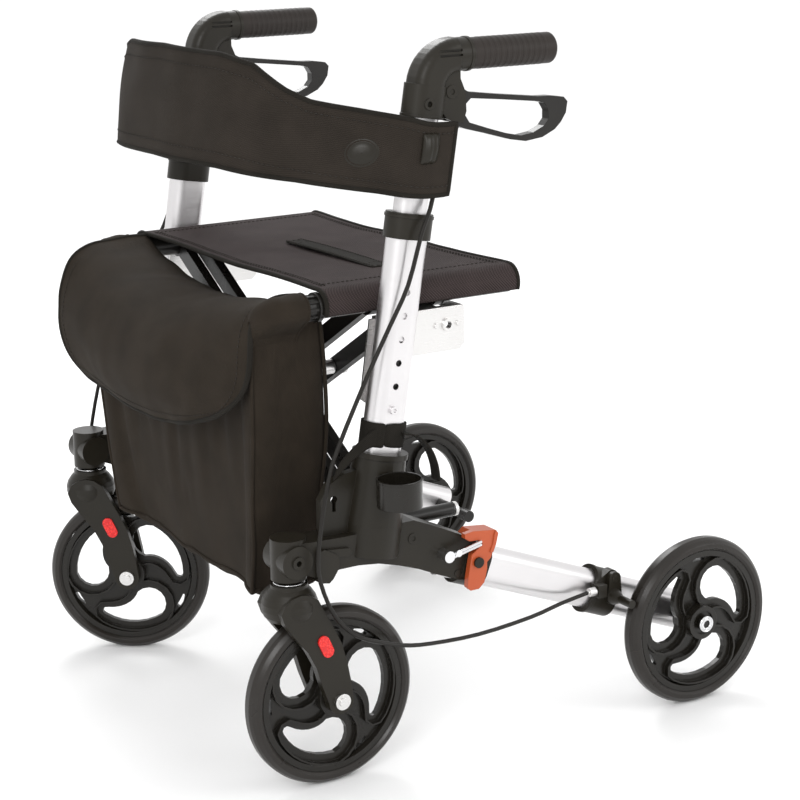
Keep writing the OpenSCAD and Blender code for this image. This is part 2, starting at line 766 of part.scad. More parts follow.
module backrest_band() {
    xs = [for (i = [-20:20]) band_x * sin(i * 4.5)];
    intersection() {
        translate([0, 0, 636]) linear_extrude(134) union() {
            polygon(concat(
                [for (x = xs) [x, band_line(x, 0)]],
                [for (i = [40:-1:0]) let (x = xs[i]) [x * (1 - band_t / band_x), band_line(x, -band_t)]]
            ));
            for (s = [-1, 1]) translate([s * (band_x - band_t / 2), -87])
                square([band_t, 38], center = true);
        }
        rotate([90, 0, 0]) linear_extrude(700, center = true) polygon([
            [-290, 640], [-200, 646], [-60, 654], [60, 654], [200, 646], [290, 640],
            [290, 715], [205, 726], [185, 735], [150, 760], [110, 767], [0, 770],
            [-110, 767], [-150, 760], [-185, 735], [-205, 726], [-290, 715]
        ]);
    }
}

// Side view of the bag's pocket, drawn in by t all round and open at the top.
module pocket_side(t) {
    polygon([
        [-196 - t, 498 + t], [-276 + t, 498 + t], [-284 + t, 480], [-282 + t, 230],
        [-274 + t, 212 + t], [-256, 206 + t], [-204, 208 + t], [-196 - t, 216 + t]
    ]);
}

module bag_body() {
    half = brace_x - tube_r - 8;
    wall = 3;
    difference() {
        rotate([90, 0, 90]) linear_extrude(2 * half, center = true) pocket_side(0);
        rotate([90, 0, 90]) linear_extrude(2 * (half - wall), center = true) pocket_side(wall);
    }
    // flap over the top and the front, bowed forwards
    intersection() {
        rotate([90, 0, 90]) linear_extrude(400, center = true) polygon([
            [-198, 499], [-198, 504], [-262, 512], [-298, 502], [-318, 470], [-324, 420],
            [-318, 370], [-304, 330], [-299, 332], [-312, 371], [-318, 420], [-312, 467],
            [-294, 496], [-262, 506], [-238, 500]
        ]);
        rotate([90, 0, 0]) linear_extrude(700, center = true) polygon([
            [-186, 520], [186, 520], [192, 480], [190, 380], [176, 348], [130, 326],
            [-130, 326], [-176, 348], [-190, 380], [-192, 480]
        ]);
    }
}

// ---------- nodes ----------

module left_housing() { color(black) housing(); }
module left_post() { color(silver) post(); }
module left_collar() { color(black) collar(); }
module left_rear_tube() { color(silver) rear_tube(); }
module left_seat_rest() { color(silver) seat_rest(); }
module left_brace_rod() { color(steel) brace_rod(); }
module left_brake_bracket() { color(black) brake_bracket(); }
module left_brake_barrel() { color(steel) brake_barrel(); }
module left_strap() { color(cloth) webbing_strap(); }
module left_cable() { color(gloss) brake_cable(); }
module left_latch() { color(orange) latch(); }
module left_latch_pin() { color(steel) latch_pin(); }
module left_handle_tube() { color(silver) handle_tube(); }
module left_elbow() { color(black) elbow(); }
module left_grip() { color(rubber) grip(); }
module left_lever() { color(black) lever(); }
module left_brake_arm() { color(black) brake_arm(); }
module left_fork() { color(black) on_left_caster() caster_fork(); }
module left_reflectors() { color(red) on_left_caster() caster_reflectors(); }
module left_front_axle() { color(steel) on_left_caster() caster_axle(); }
// This wheel rests part of a turn away from the others
module left_front_rim() {
    color(gloss) on_left_caster() translate([0, trail, wheel_r]) rotate([-30, 0, 0]) wheel_rim();
}
module left_front_tyre() { color(rubber) on_left_caster() translate([0, trail, wheel_r]) wheel_tyre(); }
module left_rear_axle() { color(steel) rear_axle(); }
module left_rear_rim() { color(gloss) translate([rear_wheel_x, rear_y, wheel_r]) wheel_rim(); }
module left_rear_tyre() { color(rubber) translate([rear_wheel_x, rear_y, wheel_r]) wheel_tyre(); }

module rear_axle() {
    hub_out = rear_wheel_x + hub_half;
    tube_in = frame_x - tube_w / 2;
    rod_x(tube_in - 6, hub_out + 1, rear_y, wheel_r, axle_r);
    rod_x(frame_x + tube_w / 2 + 1, rear_wheel_x - hub_half - 1, rear_y, wheel_r, 9);
    rod_x(hub_out + 1, hub_out + 5, rear_y, wheel_r, 9);
    // tipping peg for the walker's foot
    rod_x(tube_in - 72, tube_in - 1, rear_y, wheel_r, 7);
    rod_x(tube_in - 72, tube_in - 56, rear_y, wheel_r, 8);
}

module right_housing() { color(black) as_right() housing(); }
module right_post() { color(silver) as_right() post(); }
module right_collar() { color(black) as_right() collar(); }
module right_rear_tube() { color(silver) as_right() rear_tube(); }
module right_seat_rest() { color(silver) as_right() seat_rest(); }
module right_brace_rod() { color(steel) as_right() brace_rod(); }
module right_brake_bracket() { color(black) as_right() brake_bracket(); }
module right_brake_barrel() { color(steel) as_right() brake_barrel(); }
module right_strap() { color(cloth) as_right() webbing_strap(); }
module right_cable() { color(gloss) as_right() brake_cable(); }
module right_latch() { color(orange) as_right() latch(); }
module right_latch_pin() { color(steel) as_right() latch_pin(); }
module right_handle_tube() { color(silver) as_right() handle_tube(); }
module right_elbow() { color(black) as_right() elbow(); }
module right_grip() { color(rubber) as_right() grip(); }
module right_lever() { color(black) as_right() lever(); }
module right_brake_arm() { color(black) as_right() brake_arm(); }
module right_fork() { color(black) on_right_caster() caster_fork(); }
module right_reflectors() { color(red) on_right_caster() caster_reflectors(); }
module right_front_axle() { color(steel) on_right_caster() caster_axle(); }
module right_front_rim() { color(gloss) on_right_caster() translate([0, trail, wheel_r]) wheel_rim(); }
module right_front_tyre() { color(rubber) on_right_caster() translate([0, trail, wheel_r]) wheel_tyre(); }
module right_rear_axle() { color(steel) as_right() rear_axle(); }
module right_rear_rim() { color(gloss) translate([-rear_wheel_x, rear_y, wheel_r]) wheel_rim(); }
module right_rear_tyre() { color(rubber) as_right() left_rear_tyre(); }

module cane_cup() { color(gloss) cup(); }
module brace_a() { color(black) brace(brace_a_y, 1); }
module brace_b() { color(black) brace(brace_b_y, -1); }
module brace_pin() { color(steel) centre_pin(); }
module left_seat_tube() { color(gloss) seat_tube(); }
module right_seat_tube() { color(gloss) as_right() seat_tube(); }
module seat_mesh() { color(cloth) seat_mesh_sheet(); }
module backrest() { color(cloth) backrest_band(); }
module bag() { color(cloth) bag_body(); }

left_housing();
left_post();
left_collar();
left_rear_tube();
left_seat_rest();
left_brace_rod();
left_brake_bracket();
left_brake_barrel();
left_strap();
left_cable();
left_latch();
left_latch_pin();
left_handle_tube();
left_elbow();
left_grip();
left_lever();
left_brake_arm();
left_fork();
left_reflectors();
left_front_axle();
left_front_rim();
left_front_tyre();
left_rear_axle();
left_rear_rim();
left_rear_tyre();
right_housing();
right_post();
right_collar();
right_rear_tube();
right_seat_rest();
right_brace_rod();
right_brake_bracket();
right_brake_barrel();
right_strap();
right_cable();
right_latch();
right_latch_pin();
right_handle_tube();
right_elbow();
right_grip();
right_lever();
right_brake_arm();
right_fork();
right_reflectors();
right_front_axle();
right_front_rim();
right_front_tyre();
right_rear_axle();
right_rear_rim();
right_rear_tyre();
cane_cup();
brace_a();
brace_b();
brace_pin();
left_seat_tube();
right_seat_tube();
seat_mesh();
backrest();
bag();
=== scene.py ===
"""Looks of the folding rollator walker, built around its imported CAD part.

Units are metres. +Z is up, -Y is the direction of travel and +X is the user's left hand.
"""

import json
import math

import bmesh
import bpy
from mathutils import Matrix, Vector, noise


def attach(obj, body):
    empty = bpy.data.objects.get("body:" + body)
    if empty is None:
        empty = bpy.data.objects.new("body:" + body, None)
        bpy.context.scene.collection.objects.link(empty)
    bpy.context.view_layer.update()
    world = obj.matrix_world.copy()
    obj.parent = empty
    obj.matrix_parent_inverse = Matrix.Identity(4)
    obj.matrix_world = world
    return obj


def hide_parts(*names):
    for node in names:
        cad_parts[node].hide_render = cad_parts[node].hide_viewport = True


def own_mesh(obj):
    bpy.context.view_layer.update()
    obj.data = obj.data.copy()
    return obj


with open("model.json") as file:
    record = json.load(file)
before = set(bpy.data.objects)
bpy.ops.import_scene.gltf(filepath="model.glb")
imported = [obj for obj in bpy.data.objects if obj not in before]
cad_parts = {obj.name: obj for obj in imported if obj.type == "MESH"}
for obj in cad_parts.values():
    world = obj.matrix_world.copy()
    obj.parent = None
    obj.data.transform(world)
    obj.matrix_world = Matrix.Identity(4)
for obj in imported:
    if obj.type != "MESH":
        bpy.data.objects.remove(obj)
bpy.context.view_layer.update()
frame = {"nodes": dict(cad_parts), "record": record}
nodes = frame["nodes"]

# Places that repeat part.scad, in metres.
FRAME_X = 0.255  # middle plane of a side frame
SEAT_TUBE_X = 0.213
SEAT_TUBE_Z = 0.514
SEAT_TUBE_FRONT_Y = -0.226
POST_LEAN = math.radians(9.3)  # how far the upright tubes lean back
POST_Y = -0.117  # an upright tube's middle line passes through this point
POST_Z = 0.616
REAR_AXLE_Y = 0.238
AXLE_Z = 0.1
CASTER_Y = -0.274

# Sewing.
THREAD_RADIUS = 0.0005
THREAD_SIDES = 5
STITCH_LENGTH = 0.0034
STITCH_GAP = 0.0022
PIPING_RADIUS = 0.0029


# ---------- materials ----------

BEVEL_SAMPLES = 4
CLOTH_ROUGHNESS = 0.85
CLOTH_SHINE = 0.18
METAL_EDGE = 0.0006
BRUSH_STRETCH = (30.0, 30.0, 900.0)


class Shader:
    """A small helper that builds one procedural material."""

    def __init__(self, name):
        self.material = bpy.data.materials.new(name)
        self.material.use_nodes = True
        self.tree = self.material.node_tree
        self.bsdf = self.tree.nodes["Principled BSDF"]
        self.coords = self.tree.nodes.new("ShaderNodeTexCoord").outputs["Object"]

    def node(self, kind, inputs=None, **settings):
        """Adds a node, with its settings, and values or links for its inputs."""
        made = self.tree.nodes.new(kind)
        for key, value in settings.items():
            setattr(made, key, value)
        for key, value in (inputs or {}).items():
            self.feed(made.inputs[key], value)
        return made

    def feed(self, socket, value):
        """Links an output to a socket, or sets a plain value on it."""
        if isinstance(value, bpy.types.NodeSocket):
            self.tree.links.new(value, socket)
        else:
            socket.default_value = value

    def noise(self, scale, detail=3.0, vector=None):
        return self.node(
            "ShaderNodeTexNoise",
            {"Vector": vector or self.coords, "Scale": scale, "Detail": detail},
        ).outputs["Fac"]

    def math(self, operation, a, b=0.0):
        return self.node("ShaderNodeMath", {0: a, 1: b}, operation=operation).outputs[0]

    def ramp(self, value, low, high, out_low, out_high):
        """Maps low..high of a value to out_low..out_high."""
        return self.node(
            "ShaderNodeMapRange",
            {
                "Value": value, "From Min": low, "From Max": high,
                "To Min": out_low, "To Max": out_high,
            },
        ).outputs["Result"]

    def colour(self, factor, a, b):
        """Mixes two RGB colours by a factor from 0 to 1."""
        mixed = self.node("ShaderNodeMix", data_type="RGBA")
        self.feed(mixed.inputs[0], factor)
        self.feed(mixed.inputs[6], (*a, 1.0))
        self.feed(mixed.inputs[7], (*b, 1.0))
        return mixed.outputs[2]

    def bump(self, height, strength, distance, edge=0.0):
        """A bump normal, with the mesh's sharp edges softened by a bevel of that radius."""
        bumped = self.node(
            "ShaderNodeBump", {"Height": height, "Strength": strength, "Distance": distance}
        )
        if edge:
            bevel = self.node("ShaderNodeBevel", {"Radius": edge}, samples=BEVEL_SAMPLES)
            self.feed(bumped.inputs["Normal"], bevel.outputs["Normal"])
        self.feed(self.bsdf.inputs["Normal"], bumped.outputs["Normal"])

    def finish(self, **inputs):
        """Feeds the surface's inputs and returns the material."""
        for key, value in inputs.items():
            self.feed(self.bsdf.inputs[key.replace("_", " ")], value)
        return self.material


def grained_plastic(name, dark, light, roughness, grain=2600.0, edge=0.0009, shine=0.25):
    """Moulded plastic with a fine grain and faint smudges."""
    shader = Shader(name)
    smudge = shader.noise(scale=14.0, detail=4.0)
    shader.bump(shader.noise(grain, detail=2.0), strength=0.12, distance=0.0003, edge=edge)
    return shader.finish(
        Base_Color=shader.colour(smudge, dark, light),
        Roughness=shader.ramp(smudge, 0.3, 0.7, roughness - 0.06, roughness + 0.07),
        Specular_IOR_Level=shine,
    )


def metal(name, dark, light, roughness):
    """Metal with a very fine brushed or anodised streak."""
    shader = Shader(name)
    stretched = shader.node(
        "ShaderNodeMapping", {"Vector": shader.coords, "Scale": BRUSH_STRETCH}
    ).outputs["Vector"]
    brushed = shader.noise(scale=1.0, detail=4.0, vector=stretched)
    shader.bump(brushed, strength=0.05, distance=0.0002, edge=METAL_EDGE)
    return shader.finish(
        Base_Color=shader.colour(shader.noise(scale=9.0), dark, light),
        Metallic=1.0,
        Roughness=shader.ramp(brushed, 0.3, 0.7, roughness - 0.05, roughness + 0.06),
    )


def woven(name, dark, light, pitch, contrast=0.5):
    """Plain-weave cloth: two crossed sets of threads, pitch metres apart."""
    shader = Shader(name)
    split = shader.node("ShaderNodeSeparateXYZ", {"Vector": shader.coords})
    turns = 2.0 * math.pi / pitch
    across = shader.math("SINE", shader.math("MULTIPLY", split.outputs["X"], turns))
    depth = shader.math("ADD", split.outputs["Y"], split.outputs["Z"])
    along = shader.math("SINE", shader.math("MULTIPLY", depth, turns))
    threads = shader.math("MULTIPLY", across, along)
    worn = shader.noise(scale=25.0, detail=4.0)
    height = shader.math("ADD", threads, shader.noise(scale=900.0, detail=2.0))
    shader.bump(height, strength=0.5, distance=pitch * 0.25)
    thread_tone = shader.ramp(threads, -1.0, 1.0, 0.0, contrast)
    worn_tone = shader.ramp(worn, 0.3, 0.7, 0.0, 1.0 - contrast)
    return shader.finish(
        Base_Color=shader.colour(shader.math("ADD", thread_tone, worn_tone), dark, light),
        Roughness=CLOTH_ROUGHNESS,
        Specular_IOR_Level=CLOTH_SHINE,
    )


def reflector():
    """Red prismatic reflector with a raised cell pattern, painted shade across each cell and a
    faint painted glow.
    """
    shader = Shader("red_reflector")
    cells = shader.node(
        "ShaderNodeTexVoronoi", {"Vector": shader.coords, "Scale": 420.0}, feature="F1"
    ).outputs["Distance"]
    shader.bump(cells, strength=0.8, distance=0.001)
    # painted shade: the red darkens from each cell's middle to its edge, in place of the light off
    # the prisms
    depth = shader.ramp(cells, 0.1, 0.6, 0.0, 1.0)
    return shader.finish(
        Base_Color=shader.colour(depth, (0.85, 0.03, 0.02), (0.45, 0.005, 0.005)),
        Roughness=0.15,
        # painted glow: a faint red emission stands in for the light the reflector sends back
        Emission_Color=(0.8, 0.02, 0.02, 1.0),
        Emission_Strength=0.25,
    )


# Each takes its dark and light colours, and then its roughness or its thread pitch.
MATERIALS = {
    "black_plastic": grained_plastic(
        "black_plastic", (0.011, 0.0092, 0.0058), (0.018, 0.0152, 0.0105), 0.36
    ),
    "rim_plastic": grained_plastic(
        "rim_plastic", (0.008, 0.0068, 0.005), (0.013, 0.0112, 0.0085), 0.26,
        grain=1500.0, shine=0.32,
    ),
    "aluminium": metal("aluminium", (0.66, 0.645, 0.65), (0.8, 0.785, 0.79), 0.34),
    "bare_steel": metal("bare_steel", (0.64, 0.63, 0.62), (0.78, 0.77, 0.76), 0.3),
    "chrome": metal("chrome", (0.7, 0.7, 0.71), (0.82, 0.82, 0.83), 0.12),
    "black_metal": grained_plastic(
        "black_metal", (0.007, 0.0062, 0.005), (0.012, 0.0105, 0.0088), 0.28,
        grain=1800.0, shine=0.35,
    ),
    "webbing": woven("webbing", (0.008, 0.0068, 0.005), (0.018, 0.0155, 0.012), 0.0022),
    "cable_sheath": grained_plastic(
        "cable_sheath", (0.008, 0.0068, 0.0055), (0.013, 0.0112, 0.009), 0.35, grain=1200.0
    ),
    "orange_plastic": grained_plastic(
        "orange_plastic", (0.36, 0.058, 0.016), (0.48, 0.09, 0.026), 0.3, grain=1500.0, shine=0.4
    ),
    "grip_rubber": grained_plastic(
        "grip_rubber", (0.016, 0.0125, 0.0105), (0.026, 0.02, 0.017), 0.5, grain=1400.0
    ),
    "red_reflector": reflector(),
    "tyre": grained_plastic(
        "tyre", (0.012, 0.0098, 0.0078), (0.02, 0.0165, 0.0135), 0.3,
        grain=900.0, edge=0.002, shine=0.35,
    ),
    "mesh_fabric": woven(
        "mesh_fabric", (0.012, 0.008, 0.0075), (0.062, 0.046, 0.045), 0.0034, contrast=0.8
    ),
    "band_fabric": woven(
        "band_fabric", (0.011, 0.0085, 0.006), (0.034, 0.0268, 0.021), 0.0022, contrast=0.7
    ),
    "thread": woven("thread", (0.024, 0.021, 0.018), (0.045, 0.04, 0.035), 0.0012),
    "nylon_fabric": woven(
        "nylon_fabric", (0.0135, 0.0098, 0.0062), (0.028, 0.0208, 0.0142), 0.0018, contrast=0.45
    ),
}

# Every CAD node gets the material of its slot in the record.
slot_of = {entry["node"]: entry["material_slot"] for entry in frame["record"]["subparts"]}
for name, node_object in nodes.items():
    node_object.data.materials.clear()
    node_object.data.materials.append(MATERIALS[slot_of[name]])


# ---------- mesh helpers ----------

LATHE_SIDES = 48


def link_piece(name, mesh, material):
    """Puts a mesh into the scene as a piece."""
    mesh.materials.append(MATERIALS[material])
    piece = bpy.data.objects.new(name, mesh)
    bpy.context.scene.collection.objects.link(piece)
    return piece


def new_piece(name, points, faces, material):
    """A smooth-shaded piece from points and faces."""
    mesh = bpy.data.meshes.new(name)
    mesh.from_pydata([tuple(p) for p in points], [], faces)
    mesh.update()
    mesh.shade_smooth()
    return link_piece(name, mesh, material)


def apply_modifiers(piece):
    """Bakes a piece's modifiers into its mesh."""
    evaluated = piece.evaluated_get(bpy.context.evaluated_depsgraph_get())
    baked = bpy.data.meshes.new_from_object(evaluated)
    piece.modifiers.clear()
    piece.data = baked


def thicken(piece, thickness, levels=1):
    """Smooths a single-sheet mesh and gives it thickness, centred on the sheet."""
    smooth = piece.modifiers.new("smooth", "SUBSURF")
    smooth.levels = smooth.render_levels = levels
    shell = piece.modifiers.new("shell", "SOLIDIFY")
    shell.thickness = thickness
    shell.offset = 0.0
    apply_modifiers(piece)


def sheet_grid(name, rows, material):
    """A sheet through rows of points, all rows with the same number of points."""
    width = len(rows[0])
    points = [p for row in rows for p in row]
    faces = [
        (i * width + j, i * width + j + 1, (i + 1) * width + j + 1, (i + 1) * width + j)
        for i in range(len(rows) - 1)
        for j in range(width - 1)
    ]
    return new_piece(name, points, faces, material)


def smooth_curve(points, steps):
    """Catmull-Rom curve through the points, with that many steps between neighbours."""
    points = [Vector(p) for p in points]
    last = len(points) - 1
    curve = []
    for i in range(last):
        a, b = points[max(i - 1, 0)], points[i]
        c, d = points[i + 1], points[min(i + 2, last)]
        for k in range(steps):
            t = k / steps
            curve.append(0.5 * (
                2 * b + (c - a) * t + (2 * a - 5 * b + 4 * c - d) * t ** 2
                + (3 * b - a - 3 * c + d) * t ** 3
            ))
    curve.append(points[last])
    return curve


def line_length(line):
    return sum((b - a).length for a, b in zip(line, line[1:]))


def resample(points, count):
    """Points at equal distances along a line, both ends included."""
    lengths = [0.0]
    for a, b in zip(points, points[1:]):
        lengths.append(lengths[-1] + (b - a).length)
    spaced = []
    j = 0
    for i in range(count):
        goal = lengths[-1] * i / (count - 1)
        while j < len(points) - 2 and lengths[j + 1] < goal:
            j += 1
        span = max(lengths[j + 1] - lengths[j], 1e-9)
        spaced.append(points[j].lerp(points[j + 1], min((goal - lengths[j]) / span, 1.0)))
    return spaced


def tube_rings(line, radius, sides, closed):
    """Points and faces of a round tube along a line."""
    count = len(line)
    points, faces = [], []
    side = None  # carried from point to point, so that the tube doesn't twist
    for i, centre in enumerate(line):
        before = line[i - 1] if i or closed else line[i]
        after = line[(i + 1) % count] if i < count - 1 or closed else line[i]
        along = (after - before).normalized()
        if side is None:
            side = Vector((0, 0, 1)) if abs(along.z) < 0.9 else Vector((0, 1, 0))
        side = (side - along * side.dot(along)).normalized()
        up = along.cross(side)
        for k in range(sides):
            angle = 2.0 * math.pi * k / sides
            points.append(centre + radius * (math.cos(angle) * side + math.sin(angle) * up))
    for i in range(count if closed else count - 1):
        for k in range(sides):
            a, b = i * sides + k, i * sides + (k + 1) % sides
            c, d = (i + 1) % count * sides + (k + 1) % sides, (i + 1) % count * sides + k
            faces.append((a, b, c, d))
    if not closed:
        faces.append(tuple(range(sides - 1, -1, -1)))
        faces.append(tuple((count - 1) * sides + k for k in range(sides)))
    return points, faces


def tubes(name, lines, radius, material, sides=8, closed=False):
    """One piece of round tubes along several lines, such as piping or stitches."""
    points, faces = [], []
    for line in lines:
        ring_points, ring_faces = tube_rings(line, radius, sides, closed)
        base = len(points)
        points += ring_points
        faces += [tuple(base + k for k in face) for face in ring_faces]
    return new_piece(name, points, faces, material)


def stitches(line):
    """Short dashes along a line."""
    count = max(int(line_length(line) / (STITCH_LENGTH + STITCH_GAP)), 2)
    marks = resample(line, 2 * count + 1)
    return [[marks[2 * i], marks[2 * i + 1]] for i in range(count)]


def sewn(name, seams, radius=THREAD_RADIUS):
    """One piece of thread for all of those stitches."""
    return tubes(name, seams, radius, "thread", THREAD_SIDES)


def ribbon(name, line, across, width, thickness):
    """A flat webbing strap along a line. across is the direction of its width."""
    rows = [[centre + across * width * (s / 4 - 0.5) for s in range(5)] for centre in line]
    strap = sheet_grid(name, rows, "webbing")
    thicken(strap, thickness)
    return strap


def ring_faces(rings, sides):
    """Faces between that many closed rings of points."""
    faces = []
    for i in range(rings - 1):
        for k in range(sides):
            a, b = i * sides + k, i * sides + (k + 1) % sides
            faces.append((a, b, b + sides, a + sides))
    return faces


def lathe_x(name, profile, centre):
    """A chromed piece turned about an axis along X, from (x, radius) points."""
    points = []
    for x, radius in profile:
        for k in range(LATHE_SIDES):
            angle = 2.0 * math.pi * k / LATHE_SIDES
            points.append(
                Vector(centre) + Vector((x, radius * math.cos(angle), radius * math.sin(angle)))
            )
    return new_piece(name, points, ring_faces(len(profile), LATHE_SIDES), "chrome")


def dimple(point, scale, depth, seed):
    """A small smooth offset that is the same on every run."""
    return depth * noise.noise(Vector(point) * scale + Vector((seed, 0, 0)))


def side_word(side):
    """Name of the side of the walker, from the sign of its x."""
    return "left" if side > 0 else "right"


# ---------- how the soft goods move ----------

def ride_only(body, *pieces):
    """These pieces follow one body and keep their shape."""
    for piece in pieces:
        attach(piece, body)


def ride_seat(*pieces):
    """Seat cloth and bag follow the left seat tube, each with a mesh of its own."""
    for piece in pieces:
        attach(piece, "left_seat")
        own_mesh(piece)


def ride_band(*pieces):
    """The backrest follows the left handle, each piece with a mesh of its own."""
    for piece in pieces:
        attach(piece, "left_handle")
        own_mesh(piece)


# ---------- seat ----------

SEAT_FRONT_Y = -0.206
SEAT_REAR_Y = 0.037
SEAT_WRAP = 0.0182  # from a seat tube's middle line to the cloth round it
# (x, z) of the cloth from next to the tube to the seat's middle, which hangs lower
SEAT_SLOPE = [(0.19, 0.5320), (0.14, 0.5312), (0.07, 0.5305), (0.0, 0.5302)]
SEAT_WRAP_DEGREES = 115  # how far the cloth goes round a tube from its top
SEAT_WRAP_STEPS = 10
SEAT_HALF = 0.2
SEAT_ROWS = 45
SEAT_POINTS = 121
SEAT_CLOTH_T = 0.0022
SEAT_PIPING_RADIUS = 0.0026
SEAT_PIPING_LIFT = 0.0004
SEAT_DROOP = 0.0018
SEAT_EDGE_CURVE = 0.004  # the front and rear edges curve in by this much between the tubes
SEAT_HEMS = (0.010, 0.014)  # rows of stitches, in from the front and rear edges
SEAT_HEM_END_X = 0.205
SEAT_HEM_LIFT = 0.0016
SEAT_SIDE_SEAM_X = 0.196
SEAT_SIDE_SEAM_MARGIN = 0.01
SEAT_SIDE_SEAM_STEPS = 20
SEAT_STITCH_Z = 0.5335


def seat_section():
    """The cloth's line across the walker, from under one tube to under the other."""
    half = []
    for k in range(SEAT_WRAP_STEPS + 1):
        turn = math.radians(SEAT_WRAP_DEGREES * (1 - k / SEAT_WRAP_STEPS))
        x = SEAT_TUBE_X + SEAT_WRAP * math.sin(turn)
        half.append(Vector((x, 0, SEAT_TUBE_Z + SEAT_WRAP * math.cos(turn))))
    half += [Vector((x, 0, z)) for x, z in SEAT_SLOPE]
    far_half = [Vector((-p.x, 0, p.z)) for p in reversed(half[:-1])]
    return resample(half + far_half, SEAT_POINTS)


def seat_row(section, t):
    """One row of the cloth's points, at t from 0 at the front edge to 1 at the rear edge."""
    y = SEAT_FRONT_Y + (SEAT_REAR_Y - SEAT_FRONT_Y) * t
    droop = SEAT_DROOP * math.sin(math.pi * t)
    from_middle = 1 - 2 * t
    edge_curve = SEAT_EDGE_CURVE * from_middle if abs(from_middle) > 0.9 else 0.0
    row = []
    for p in section:
        inner = max(0.0, 1.0 - abs(p.x) / SEAT_HALF)
        curve = edge_curve * math.sin(math.pi * min(1.0, inner * 1.2))
        wave = dimple((p.x, y, 0), scale=18.0, depth=0.0012, seed=3.0)
        row.append(Vector((p.x, y + curve, p.z - droop * inner + wave * inner)))
    return row


def make_seat():
    """The mesh seat cloth, wrapped round both seat tubes, with bound edges and sewn hems."""
    section = seat_section()
    rows = [seat_row(section, i / (SEAT_ROWS - 1)) for i in range(SEAT_ROWS)]
    cloth = sheet_grid("seat_cloth", rows, "mesh_fabric")
    thicken(cloth, SEAT_CLOTH_T, levels=0)
    lift = Vector((0, 0, SEAT_PIPING_LIFT))
    edges = [[p + lift for p in row] for row in (rows[0], rows[-1])]
    piping = tubes("seat_piping", edges, SEAT_PIPING_RADIUS, "webbing")
    seams = []
    for inset in SEAT_HEMS:
        for row, step in ((rows[0], inset), (rows[-1], -inset)):
            offset = Vector((0, step, SEAT_HEM_LIFT))
            seams += stitches([p + offset for p in row if abs(p.x) < SEAT_HEM_END_X])
    length = SEAT_REAR_Y - SEAT_FRONT_Y
    seam_start = SEAT_FRONT_Y + SEAT_SIDE_SEAM_MARGIN
    seam_step = (length - 2 * SEAT_SIDE_SEAM_MARGIN) / SEAT_SIDE_SEAM_STEPS
    for x in (-SEAT_SIDE_SEAM_X, SEAT_SIDE_SEAM_X):
        seams += stitches([
            Vector((x, seam_start + seam_step * k, SEAT_STITCH_Z))
            for k in range(SEAT_SIDE_SEAM_STEPS + 1)
        ])
    thread = sewn("seat_stitches", seams)
    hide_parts("seat_mesh")
    return [cloth, piping, thread]


PULL_STRAP_Y = -0.085
PULL_STRAP_START_X = -0.055
PULL_STRAP_END_X = 0.143
PULL_STRAP_Z = 0.5322
PULL_STRAP_WIDTH = 0.024
PULL_STRAP_T = 0.0014
PULL_STRAP_CROWN = 0.0012  # the strap's middle stands this far off the seat
PULL_STRAP_STEPS = 24
PULL_STRAP_BARS = (0.004, 0.022)  # rows of stitches across the strap, in from each end
PULL_STRAP_BAR_HALF = 0.010
PULL_STRAP_BAR_Z = 0.5333
PULL_STRAP_EDGE_SEAM = 0.0098  # rows of stitches along the strap, from its middle line
PULL_STRAP_SEAM_LIFT = 0.0013


def make_pull_strap():
    """The strap on the seat that is pulled up to fold the walker."""
    start, end = PULL_STRAP_START_X, PULL_STRAP_END_X
    line = []
    for k in range(PULL_STRAP_STEPS + 1):
        t = k / PULL_STRAP_STEPS
        z = PULL_STRAP_Z + PULL_STRAP_CROWN * math.sin(math.pi * t)
        line.append(Vector((start + (end - start) * t, PULL_STRAP_Y, z)))
    strap = ribbon("pull_strap", line, Vector((0, 1, 0)), PULL_STRAP_WIDTH, PULL_STRAP_T)
    seams = []
    bar_start = Vector((0, PULL_STRAP_Y - PULL_STRAP_BAR_HALF, PULL_STRAP_BAR_Z))
    bar_end = Vector((0, PULL_STRAP_Y + PULL_STRAP_BAR_HALF, PULL_STRAP_BAR_Z))
    outer, inner = PULL_STRAP_BARS
    for x in (start + outer, start + inner, end - inner, end - outer):
        across = Vector((x, 0, 0))
        seams += stitches([bar_start + across, bar_end + across])
    for offset in (-PULL_STRAP_EDGE_SEAM, PULL_STRAP_EDGE_SEAM):
        seams += stitches([p + Vector((0, offset, PULL_STRAP_SEAM_LIFT)) for p in line])
    return [strap, sewn("strap_stitches", seams)]


# ---------- backrest ----------

# Middle line of the band in plan, (x, y), from the middle of the walker to a handle tube.
BAND_PLAN = [
    (0.0, -0.280), (0.060, -0.277), (0.120, -0.264), (0.170, -0.238), (0.210, -0.203),
    (0.241, -0.166), (0.259, -0.141), (0.2695, -0.126), (0.2765, -0.111), (0.2795, -0.098),
    (0.2800, -0.075),
]
# Upper and lower edges of the band, (distance from the middle in x, z).
BAND_TOP = [
    (0.0, 0.775), (0.11, 0.772), (0.15, 0.763), (0.185, 0.738), (0.205, 0.727), (0.24, 0.718),
    (0.27, 0.709), (0.28, 0.702),
]
BAND_BOTTOM = [(0.0, 0.661), (0.12, 0.658), (0.2, 0.648), (0.255, 0.637), (0.28, 0.630)]
BAND_END_X = 0.28
BAND_LEAN = 0.164
BAND_MIDDLE_Z = 0.705
BAND_T = 0.0036
BAND_CROWN = 0.004
BAND_LEVELS = 17
BAND_POINTS = 141
BAND_SEAM_LEVELS = (2, BAND_LEVELS - 3)
BAND_SEAM_LIFT = 0.0026
BAND_THREAD_RADIUS = 0.00055


def between(table, x):
    """Reads a table of (x, value) pairs at x, in a straight line from pair to pair."""
    for (x0, v0), (x1, v1) in zip(table, table[1:]):
        if x <= x1:
            return v0 + (v1 - v0) * (x - x0) / (x1 - x0)
    return table[-1][1]


